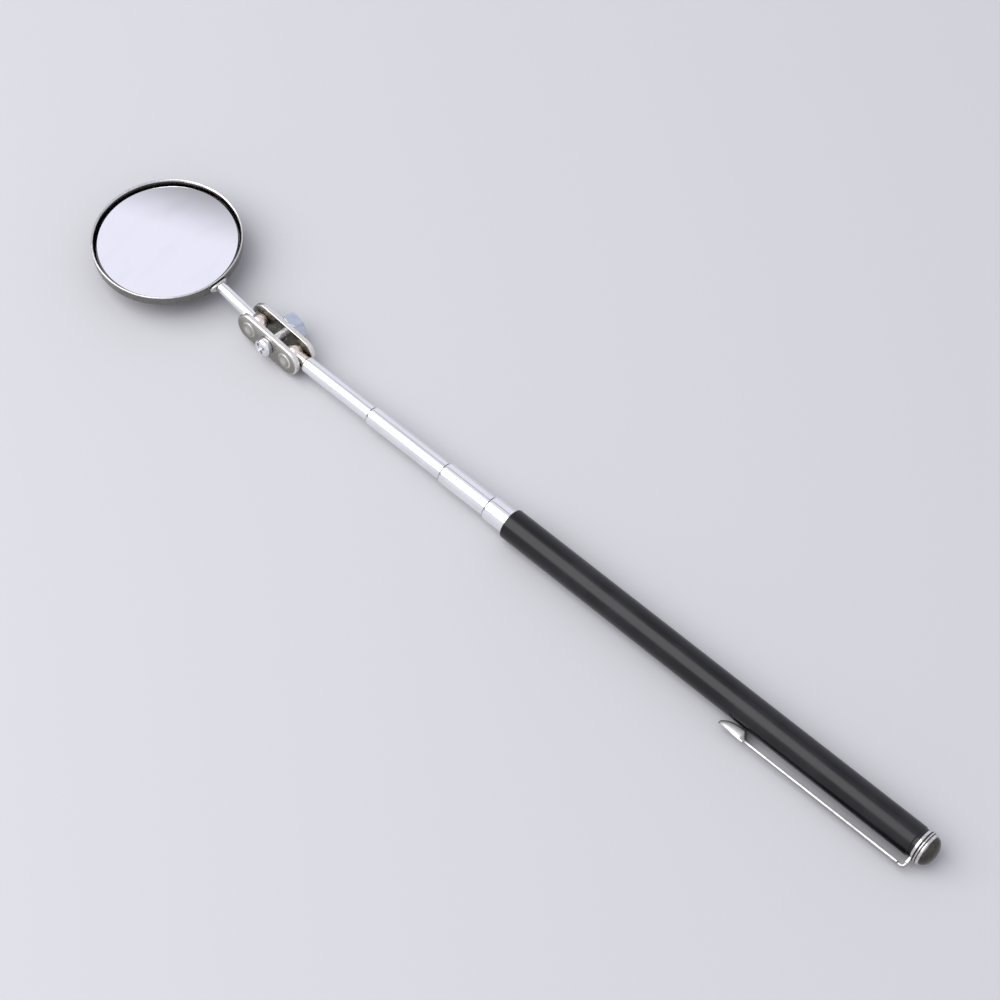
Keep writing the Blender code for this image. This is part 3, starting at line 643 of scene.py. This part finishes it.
# %% Cap
cap_low, cap_high = measured("end_cap", wand_place)
flange_radius = outer_radius("end_cap")
plug_radius = outer_radius("handle_tube") - tube_wall - slide_gap
plug_edge = 0.2 * MM
band_low, band_high = measured("clip_band", clip_place)
flange_front = band_low.x - 0.25 * MM
flange_length = 1.1 * MM
flange_rear = flange_front - flange_length
bead_gap = 0.08 * MM
narrow_bead = 0.17 * MM
wide_bead = (flange_length - bead_gap) / 2 - narrow_bead
flange_foot = flange_radius - 0.38 * MM
cap_profile = [(cap_high.x, 0.0), (cap_high.x, plug_radius - plug_edge),
               (cap_high.x - plug_edge, plug_radius), (flange_front, plug_radius)]
for station, bead in ((flange_front - narrow_bead, narrow_bead), (flange_rear + wide_bead, wide_bead)):
    cap_profile += arc((station, flange_radius - bead), bead, 0, 180, 12)
cap_profile += [(flange_rear, flange_foot), (flange_rear + 0.1 * MM, 0.0)]
cap = turned("cap", cap_profile, wand_place, bright_nickel, sides=128)
wear(cap, "handle", "bright_nickel", "end_cap")

# %% Painted shade in the cap's grooves
# Near-black rings set into the grooves are painted shade.
line_radius = flange_radius - 0.16 * MM
line_foot = plug_radius + 0.1 * MM
for name, front, rear in (("cap_front_painted_groove_shade", band_low.x, flange_front),
                          ("cap_middle_painted_groove_shade", flange_front - 2 * narrow_bead, flange_rear + 2 * wide_bead)):
    line_profile = [(front, line_radius), (rear, line_radius), (rear, line_foot), (front, line_foot)]
    line = turned(name, line_profile, wand_place, painted_shade_black, hollow=True)
    wear(line, "handle", "bright_nickel", "end_cap")

# %% Cap's dome
dome_height = flange_rear - cap_low.x
dome_edge = flange_radius - 0.46 * MM
dome_root = flange_rear + 0.2 * MM
dome_profile = [(dome_root, 0.0), (dome_root, dome_edge)]
dome_profile += arc((flange_rear, 0.0), dome_edge, 90, 180, 24, squash=dome_height / dome_edge)
# Painted dark reflection: the dome's near-black finish.
dome = turned("cap_dome", dome_profile, wand_place, dome_painted_dark_reflection, sides=128)
wear(dome, "handle", "bright_nickel", "end_cap")

# %% [markdown]
# ## Pocket clip
#
# The clip is one springy stamping: a ring round the handle, a tab, a tight bend and a long arm that
# narrows to a pressed, boat-shaped tip. The ring is turned and the tab joined to it with a Boolean.
# The arm is skinned over the sections of the strip, and the tip's hollow is a formula: full depth near
# its blunt rear end, nothing at its point and along both edges.

# %% Small helpers for solid pieces


def evaluated(name, piece, material):
    """The piece with its modifiers applied, as a plain object with the same name."""
    depsgraph = bpy.context.evaluated_depsgraph_get()
    mesh = bpy.data.meshes.new_from_object(piece.evaluated_get(depsgraph), depsgraph=depsgraph)
    bpy.data.objects.remove(piece)
    return finish_object(name, mesh, material)


def combined(name, piece, tool, operation, material):
    """Cut or join two closed pieces; the tool is used up."""
    modifier = piece.modifiers.new(operation.title(), "BOOLEAN")
    modifier.operation = operation
    modifier.solver = "EXACT"
    modifier.object = tool
    result = evaluated(name, piece, material)
    bpy.data.objects.remove(tool)
    return result


def rounded_box(name, low, high, round_edge, place, material):
    """A box with rounded edges, between two corners of a place."""
    bm = bmesh.new()
    bmesh.ops.create_cube(bm, size=1.0)
    middle = (Vector(low) + Vector(high)) / 2
    scale = Matrix.Diagonal((Vector(high) - Vector(low)).to_4d())
    bmesh.ops.transform(bm, matrix=Matrix.Translation(middle) @ scale, verts=bm.verts)
    bmesh.ops.bevel(bm, geom=bm.edges[:], offset=round_edge, segments=3, profile=0.5, affect="EDGES")
    bmesh.ops.transform(bm, matrix=place, verts=bm.verts)
    return finish_mesh(name, bm, material)


# %% Clip band
band_bore = outer_radius("handle_tube") + slide_gap
band_radius = -band_low.y
strip_thickness = band_high.x - band_low.x
strip_round = 0.12 * MM
arm_thickness = 0.5 * MM
arm_round = 0.09 * MM
split_height = (joint_point("clip_flex") - wand_ball_centre).dot(clip_out)
arm_low, arm_high = measured("clip_arm", clip_place)
tab_half = 0.8 * MM
band_profile = arc((band_high.x - strip_round, band_radius - strip_round), strip_round, 0, 90, 4)
band_profile += arc((band_low.x + strip_round, band_radius - strip_round), strip_round, 90, 180, 4)
band_profile += [(band_low.x, band_bore), (band_high.x, band_bore)]
band = turned("band_ring", band_profile, clip_place, bright_nickel, hollow=True, sides=128)
tab = rounded_box("band_tab", (band_low.x, (band_bore + band_radius) / 2, -tab_half),
                  (band_high.x, split_height, tab_half), strip_round, clip_place, bright_nickel)
band = combined("clip_band_skin", band, tab, "UNION", bright_nickel)
wear(band, "handle", "bright_nickel", "clip_band")

# %% Clip arm
arm_start = (band_low.x + band_high.x) / 2
arm_length = arm_high.x - arm_start
arm_height = arm_high.y - strip_thickness / 2
bend_radius = 0.7 * MM
shoulder_start = 1.2 * MM
shoulder_width = arm_high.z - arm_low.z
neck_width = 1.7 * MM
tip_length = 6.6 * MM
tip_peak = 1.7 * MM
tip_width = 3.0 * MM
tip_end_width = 0.5 * MM
tip_depth = arm_height - strip_thickness / 2 - sleeve_radius - 0.05 * MM
tip_start = arm_length - tip_length


def tip_share(distance):
    """How deeply the tip is pressed at a distance along the arm, from 0 to 1."""
    along = distance - tip_start
    if along <= 0:
        return 0.0
    if along < tip_peak:
        return smooth(along, 0.0, tip_peak * 0.8)
    return math.sqrt(max(0.0, 1 - ((along - tip_peak) / (tip_length - tip_peak)) ** 2)) ** 1.3


def arm_width(distance):
    if distance <= shoulder_start:
        return 2 * tab_half
    if distance <= tip_start:
        passed = (distance - shoulder_start) / (tip_start - shoulder_start)
        return shoulder_width + (neck_width - shoulder_width) * passed
    widest, other = tip_width, neck_width
    if distance > tip_start + tip_peak:
        other = tip_end_width
    return other + (widest - other) * tip_share(distance)


def arm_section(distance, height, lean, steps=14):
    """One ring of the strip: outer face, rounded edge, inner face, rounded edge."""
    outward = Vector((-math.sin(lean), math.cos(lean), 0))
    half_width = arm_width(distance) / 2
    half = arm_thickness / 2
    ring = []
    for side in (1, -1):
        for i in range(steps + 1):
            across = side * (2 * i / steps - 1)
            pressed = tip_depth * tip_share(distance) * (1 - abs(across) ** 3) ** (1 / 3)
            edge = max(0.0, abs(across) * half_width - (half_width - arm_round)) / arm_round
            rounding = arm_round * (1 - math.sqrt(max(0.0, 1 - edge ** 2)))
            offset = side * (half - rounding) - pressed
            ring.append(Vector((distance, height, across * half_width)) + outward * offset)
    return ring


arm_stations = []
bend_steps = 10
arm_stations.append((0.0, split_height + 0.05 * MM, math.pi / 2))
for i in range(bend_steps + 1):
    swept = math.pi / 2 * i / bend_steps
    arm_stations.append((bend_radius * (1 - math.cos(swept)),
                         arm_height - bend_radius + bend_radius * math.sin(swept), math.pi / 2 - swept))
straight = [shoulder_start, shoulder_start + 0.12 * MM, shoulder_start + 0.2 * MM]
straight += [straight[-1] + (tip_start - straight[-1]) * i / 24 for i in range(1, 25)]
straight += [tip_start + tip_length * i / 40 for i in range(1, 41)]
arm_stations += [(distance, arm_height, 0.0) for distance in straight]
arm_rings = [arm_section(*station) for station in arm_stations]
arm = skinned("clip_arm_skin", arm_rings, clip_place @ Matrix.Translation((arm_start, 0, 0)), clip_nickel)
wear(arm, "clip_arm", "bright_nickel", "clip_arm")

# %% [markdown]
# ## Balls and neck
#
# The wand ends in a ball on a short neck, and the stem holds a second ball. Both are turned. A small
# fillet between ball and neck is what a lathe tool leaves, so the profile has one.

# %% Wand ball
ball_radius = measured("stem_ball", head_place)[1].x
wand_ball_rear = measured("wand_ball", wand_place)[0].x
tube_1_front = measured("tube_1", wand_place)[1].x
tube_1_bore = outer_radius("tube_1") - tube_wall
neck_radius = tube_1_bore - lip_edge
plug = tube_1_bore - 0.05 * MM
shoulder = tube_1_front - lip_length - 0.05 * MM
fillet = 0.25 * MM
meeting = math.asin((neck_radius + fillet) / (ball_radius + fillet))
ball_end = 180 - math.degrees(meeting)
fillet_centre = (-(ball_radius + fillet) * math.cos(meeting), neck_radius + fillet)
ball_profile = arc((0, 0), ball_radius, 0, ball_end, 32)
ball_profile += arc(fillet_centre, fillet, -math.degrees(meeting), -90, 6)[1:]
ball_profile += [(shoulder, neck_radius), (shoulder, plug), (wand_ball_rear, plug), (wand_ball_rear, 0.0)]
ball = turned("wand_ball_skin", ball_profile, wand_place, ball_steel)
wear(ball, "wand_ball", "ball_metal", "wand_ball")

# %% Stem ball
ball = turned("stem_ball_skin", arc((0, 0), ball_radius, 180, 0, 48), head_place, ball_steel)
wear(ball, "stem_ball", "ball_metal", "stem_ball")

# %% [markdown]
# ## Clamp plates
#
# Each plate is a bar with round ends, stamped from thick strip, so its outer edges are rounded and two
# round seats for the balls are pressed out of it. A grid that runs from the bar's centre line to its
# outline follows that shape: every point knows its distance from the edge, for the rounding, and from
# the nearest ball, for the seat.

# %% Plate shape
plate_low, plate_high = measured("clamp_plate_near", clamp_place)
plate_inner = plate_low.y
seat_rise = 0.4 * MM
plate_outer = plate_high.y - seat_rise
plate_half_width = (plate_high.z - plate_low.z) / 2
plate_middle = (plate_low.x + plate_high.x) / 2
plate_half_length = (plate_high.x - plate_low.x) / 2
socket_radius = ball_radius + 0.05 * MM
dome_radius = 1.85 * MM
groove_depth = 0.11 * MM
groove_width = 0.2 * MM
outer_round = 0.42 * MM
outer_slope = 0.62 * MM
inner_round = 0.15 * MM


def bar_outline(end_steps, side_steps):
    """Pairs of (point on the outline, point on the centre line) round a bar with round ends."""
    reach = plate_half_length - plate_half_width
    pairs = []
    for side in (1, -1):
        centre = (plate_middle + side * reach, 0.0)
        for i in range(end_steps + 1):
            angle = math.radians(-90 * side + 180 * i / end_steps)
            pairs.append(((centre[0] + plate_half_width * math.cos(angle),
                           plate_half_width * math.sin(angle)), centre))
        for i in range(1, side_steps):
            x = plate_middle + side * reach * (1 - 2 * i / side_steps)
            pairs.append(((x, side * plate_half_width), (x, 0.0)))
    return pairs


def plate_height(x, z, outside):
    """Height of the plate's outer or inner face above the clamp's middle plane."""
    distance = min(math.hypot(x, z), math.hypot(x - ball_spacing, z))
    if outside:
        dome = seat_rise * max(0.0, 1 - (distance / dome_radius) ** 2)
        groove = groove_depth * math.exp(-((distance - dome_radius) / groove_width) ** 2)
        return plate_outer + dome - groove
    hollow = math.sqrt(max(socket_radius ** 2 - distance ** 2, 0.0))
    return max(plate_inner, hollow)


def plate_ring(outline, centre, side, steps=22, edge_steps=6):
    """One slice from the centre line over the outer face, round the edge and back over the inner face."""
    width = math.hypot(outline[0] - centre[0], outline[1] - centre[1])
    points = []

    def add(inset, lift, outside):
        """A point of the outer or inner face, at a distance from the outline and lifted off the face."""
        share = (width - inset) / width
        x = centre[0] + (outline[0] - centre[0]) * share
        z = centre[1] + (outline[1] - centre[1]) * share
        points.append((x, side * (plate_height(x, z, outside) + lift), z))

    for i in range(steps):
        add(width + (outer_slope - width) * i / steps, 0.0, True)
    for i in range(edge_steps + 1):
        angle = math.pi / 2 * i / edge_steps
        add(outer_slope * (1 - math.sin(angle)), -outer_round * (1 - math.cos(angle)), True)
    for i in range(edge_steps // 2 + 1):
        angle = math.pi / 2 * i / (edge_steps // 2)
        add(inner_round * (1 - math.cos(angle)), inner_round * (1 - math.sin(angle)), False)
    for i in range(1, steps + 1):
        add(inner_round + (width - inner_round) * i / steps, 0.0, False)
    return points


# %% Two plates, each drilled for the screw
screw_low, screw_high = measured("clamp_screw", clamp_place)
screw_place = clamp_place @ Matrix.Translation((plate_middle, 0, 0)) @ ALONG_Y
shank_radius = 1.15 * MM


def clamp_plate(name, side):
    bm = bmesh.new()
    slices = [plate_ring(outline, centre, side) for outline, centre in bar_outline(30, 40)]
    made = [[bm.verts.new(clamp_place @ Vector(point)) for point in points] for points in slices]
    for points, after in zip(made, made[1:] + made[:1]):
        for i in range(len(points) - 1):
            bm.faces.new((points[i], points[i + 1], after[i + 1], after[i]))
    bmesh.ops.remove_doubles(bm, verts=bm.verts, dist=1e-6)
    bmesh.ops.dissolve_degenerate(bm, edges=bm.edges, dist=1e-6)
    plate = finish_mesh(name, bm, nickel)
    reach = 6 * MM
    hole_radius = shank_radius + 0.05 * MM
    hole = turned("hole", [(-reach, 0), (-reach, hole_radius), (reach, hole_radius), (reach, 0)],
                  screw_place, nickel, sides=64)
    return combined(name, plate, hole, "DIFFERENCE", nickel)


def paint_shade_on_plate(piece):
    """Painted shade on a plate's flat faces, inside and out, and less of it on the outer face's domes and upper
    edge, which are painted lighter as lit places.
    """
    back = clamp_place.inverted()
    marks = piece.data.attributes.new("painted_shade", "FLOAT", "POINT")
    for vertex, mark in zip(piece.data.vertices, marks.data):
        spot = back @ vertex.co
        look = back.to_3x3() @ vertex.normal
        from_ball = min(math.hypot(spot.x, spot.z), math.hypot(spot.x - ball_spacing, spot.z))
        # Painted highlight: the domes and the upper edge of the outer face get less painted shade.
        on_dome = 1 - smooth(from_ball, 0.35 * MM, 1.5 * MM)
        near_edge = smooth(spot.z, 0, plate_half_width)
        painted_light_share = 0.6 * on_dome + 0.4 * near_edge if look.y * spot.y > 0 else 0.0
        # Painted shade: faces turned across the clamp, inside and out, take the painted shade colour.
        mark.value = smooth(abs(look.y), 0.80, 0.985) * (1 - painted_light_share)


for node, side in (("clamp_plate_near", 1), ("clamp_plate_far", -1)):
    plate = clamp_plate(node + "_skin", side)
    paint_shade_on_plate(plate)
    wear(plate, "clamp", "nickel_plate", node)

# %% [markdown]
# ## Screw and nut
#
# A pan-head screw draws the plates together. Its head is turned with a low crown and a cross recess is
# cut into it. The thread is real geometry: the rings of the shank get a radius that depends on both
# station and angle, so the ridge climbs one pitch for each turn. The nut's rings are hexagons, cut
# back at both faces by a cone, which draws the curved chamfer lines of a real nut.

# %% Screw
head_radius = (screw_high.z - screw_low.z) / 2
head_seat = plate_outer + 0.05 * MM
head_top = screw_high.y
screw_tip = screw_low.y
head_edge = head_seat + (head_top - head_seat) * 0.5
thread_pitch = 0.4 * MM
thread_depth = 0.11 * MM
screw_sides = 72


def screw_radius(station, turn_share):
    """Radius of the shank: plain between the plates, threaded from there to the tip."""
    threaded = smooth(-station, plate_inner, plate_inner + thread_pitch)
    wave = (station / thread_pitch - turn_share) % 1.0
    ridge = abs(2 * wave - 1)
    return shank_radius - thread_depth * ridge * threaded


def shank_ring(station, cut_back=0.0):
    return ring_at(station, lambda share: screw_radius(station, share) - cut_back, screw_sides)


screw_rings = [ring_at(screw_tip, 0.0, screw_sides), shank_ring(screw_tip, cut_back=0.3 * MM)]
thread_steps = 150
thread_start = screw_tip + 0.25 * MM
for i in range(thread_steps + 1):
    screw_rings.append(shank_ring(thread_start + (-plate_inner - thread_start) * i / thread_steps))
screw_rings.append(shank_ring(plate_inner))
under_round = 0.1 * MM
head_profile = [(head_seat, shank_radius), (head_seat, head_radius - under_round)]
head_profile += arc((head_seat + under_round, head_radius - under_round), under_round, 180, 90, 4)
crown_steps = 14
for i in range(crown_steps + 1):
    angle = math.radians(90 * i / crown_steps)
    crown = max(math.cos(angle), 0.0) ** 0.55 if i < crown_steps else 0.0
    head_profile.append((head_edge + (head_top - head_edge) * math.sin(angle), head_radius * crown))
screw_rings += [ring_at(station, radius, screw_sides) for station, radius in head_profile]
screw = skinned("screw_blank", screw_rings, screw_place, screw_zinc)
recess_width = 0.7 * MM
recess_reach = 1.6 * MM
recess_depth = 0.9 * MM
for i, angle in enumerate((45, 135)):
    bar_place = screw_place @ Matrix.Rotation(math.radians(angle), 4, "X")
    foot = recess_reach * 0.45
    half = recess_width / 2
    levels = [(head_top - recess_depth, foot), (head_top + MM, recess_reach * 1.5)]
    bar_rings = [[(station, reach, half), (station, -reach, half), (station, -reach, -half),
                  (station, reach, -half)] for station, reach in levels]
    bar = skinned(f"recess_{i}", bar_rings, bar_place, screw_zinc)
    screw = combined("clamp_screw_skin" if i else "screw_half_cut", screw, bar, "DIFFERENCE", screw_zinc)
wear(screw, "clamp_screw", "zinc_plate", "clamp_screw")

# %% Nut
nut_low, nut_high = measured("clamp_nut", clamp_place)
nut_flat = (nut_high.z - nut_low.z) / 2
nut_sides = 96
nut_bore = shank_radius + 0.05 * MM


def hexagon(turn_share):
    """Distance from a hexagon's middle to its edge, with a flat's middle at share 1/12."""
    angle = (turn_share * 2 * math.pi) % (math.pi / 3) - math.pi / 6
    return nut_flat / math.cos(angle)


def nut_ring(station, from_face):
    """A hexagon cut back by a cone that widens away from the nearer face."""
    cone = nut_flat + from_face * math.sqrt(3)
    return ring_at(station, lambda share: min(hexagon(share), cone), nut_sides)


chamfer = 0.45 * MM
bore_chamfer = 0.2 * MM
cuts = [chamfer * i / 8 for i in range(9)]
nut_rings = [nut_ring(nut_low.y + cut, cut) for cut in cuts]
nut_rings += [nut_ring(nut_high.y - cut, cut) for cut in cuts[::-1]]
bore_profile = [(nut_high.y, nut_bore + bore_chamfer), (nut_high.y - bore_chamfer, nut_bore),
                (nut_low.y + bore_chamfer, nut_bore), (nut_low.y, nut_bore + bore_chamfer)]
nut_rings += [ring_at(station, radius, nut_sides) for station, radius in bore_profile]
nut = skinned("clamp_nut_skin", nut_rings, screw_place, zinc, hollow=True)
wear(nut, "clamp", "zinc_plate", "clamp_nut")

# %% [markdown]
# ## Stem and saddle
#
# The stem is a plain rod brazed to a small curved foot, the saddle, that hugs the cup's wall. The
# saddle is a strip of the cup's own curve, a little thicker in the middle, where the rod stands.

# %% Stem
stem_high = measured("mirror_stem", head_place)[1]
stem_radius = stem_high.z
seat_angle = math.degrees(math.asin(stem_radius / socket_radius))
stem_profile = arc((0, 0), socket_radius, 0, seat_angle, 10)
stem_profile += arc((stem_high.x - 0.15 * MM, stem_radius - 0.15 * MM), 0.15 * MM, 90, 0, 4)
stem_profile.append((stem_high.x, 0.0))
stem = turned("stem", stem_profile, head_place, spun_chrome, sides=72)
wear(stem, "mirror_head", "chrome", "mirror_stem")

# %% Saddle
cup_low, cup_high = measured("mirror_cup", cup_place)
cup_radius = (cup_high.x - cup_low.x) / 2
saddle_low, saddle_high = measured("stem_saddle", cup_place)
saddle_inner = cup_radius + 0.05 * MM
saddle_thickness = (-saddle_low.x - saddle_inner) * 1.2
saddle_half_angle = (saddle_high.y - saddle_low.y) / 2 / (saddle_inner + saddle_thickness)
saddle_middle = (saddle_low.z + saddle_high.z) / 2
saddle_half_height = (saddle_high.z - saddle_low.z) / 2
saddle_rings = []
for i in range(33):
    share = 2 * i / 32 - 1
    angle = math.pi + saddle_half_angle * share
    end_round = math.sqrt(max(0.0, 1 - abs(share) ** 6))
    thick = saddle_thickness * (0.7 + 0.3 * math.cos(share * math.pi / 2)) * max(end_round, 0.35)
    half_height = saddle_half_height * (0.72 + 0.28 * math.cos(share * math.pi / 2)) * max(end_round, 0.5)
    ring = []
    for j in range(24):
        around = 2 * math.pi * j / 24
        across = math.copysign(abs(math.cos(around)) ** 0.5, math.cos(around))
        up = math.copysign(abs(math.sin(around)) ** 0.5, math.sin(around))
        radius = saddle_inner + thick * (0.5 + 0.5 * across)
        ring.append((radius * math.cos(angle), radius * math.sin(angle), saddle_middle + half_height * up))
    saddle_rings.append(ring)
saddle = skinned("saddle", saddle_rings, cup_place, bright_nickel)
wear(saddle, "mirror_head", "bright_nickel", "stem_saddle")

# %% [markdown]
# ## Cup and mirror
#
# The cup is spun from thin sheet: a flat back, a rounded edge and a straight wall whose lip is rolled
# into a small bead. The glass sits a little below the bead, and its edge is ground to a small bevel.
# Both are lathe profiles. The wall isn't perfect, and slow noise pushes it in and out by a few
# hundredths of a millimetre, so that reflections in it wander. The wall is painted dark inside and
# out, a painted dark reflection, and only the lip keeps the bright nickel.

# %% Cup
cup_height = cup_high.z - cup_low.z
cup_wall = 0.34 * MM
back_round = 0.7 * MM
bead = 0.18 * MM
cup_turn = cup_place @ ALONG_Z
bead_centre = (cup_height - bead, cup_radius - bead + 0.03 * MM)
corner_round = 0.4 * MM
wave_length = 3.5 * MM
wave_depth = 0.035 * MM
cup_profile = [(0.0, 0.0), (0.0, cup_radius * 0.5)]
cup_profile += arc((back_round, cup_radius - back_round), back_round, 180, 90, 10)
cup_profile += [(cup_height - 2.6 * bead, cup_radius)]
cup_profile += arc(bead_centre, bead, 120, -70, 14)
cup_bore = cup_radius - cup_wall
cup_profile += [(cup_height - 2.4 * bead, cup_bore), (cup_wall + corner_round, cup_bore),
                (cup_wall, cup_bore - corner_round), (cup_wall, 0.0)]
# The wall's dark colour is a painted dark reflection; the lip's faces get the bright nickel below.
cup = turned("cup", cup_profile, cup_turn, cup_painted_dark_reflection, sides=192)
for vertex in cup.data.vertices:
    local = cup_place.inverted() @ vertex.co
    out = Vector((local.x, local.y, 0))
    if out.length > cup_radius * 0.9 and local.z > cup_wall + 0.1 * MM:
        push = noise.noise(local / wave_length) * wave_depth
        vertex.co += (cup_place.to_3x3() @ out.normalized()) * push
cup.data.materials.append(bright_nickel)
for face in cup.data.polygons:
    local = cup_place.inverted() @ face.center
    face.material_index = int(local.z > cup_height - 1.6 * bead)
wear(cup, "mirror_head", "bright_nickel", "mirror_cup")

# %% Glass
glass_low, glass_high = measured("mirror_glass", cup_place)
glass_radius = (glass_high.x - glass_low.x) / 2
bevel = 0.3 * MM
glass_profile = [(glass_low.z, 0.0), (glass_low.z, glass_radius - 0.05 * MM),
                 (glass_low.z + 0.05 * MM, glass_radius), (glass_high.z - bevel, glass_radius),
                 (glass_high.z, glass_radius - bevel), (glass_high.z, glass_radius - bevel - 0.1 * MM),
                 (glass_high.z, glass_radius * 0.5), (glass_high.z, 0.0)]
glass = turned("glass", glass_profile, cup_turn, silvered, sides=192)
wear(glass, "mirror_head", "silvered_glass", "mirror_glass")

# %% [markdown] ## Finish The dressed model must fill the same box as the CAD.
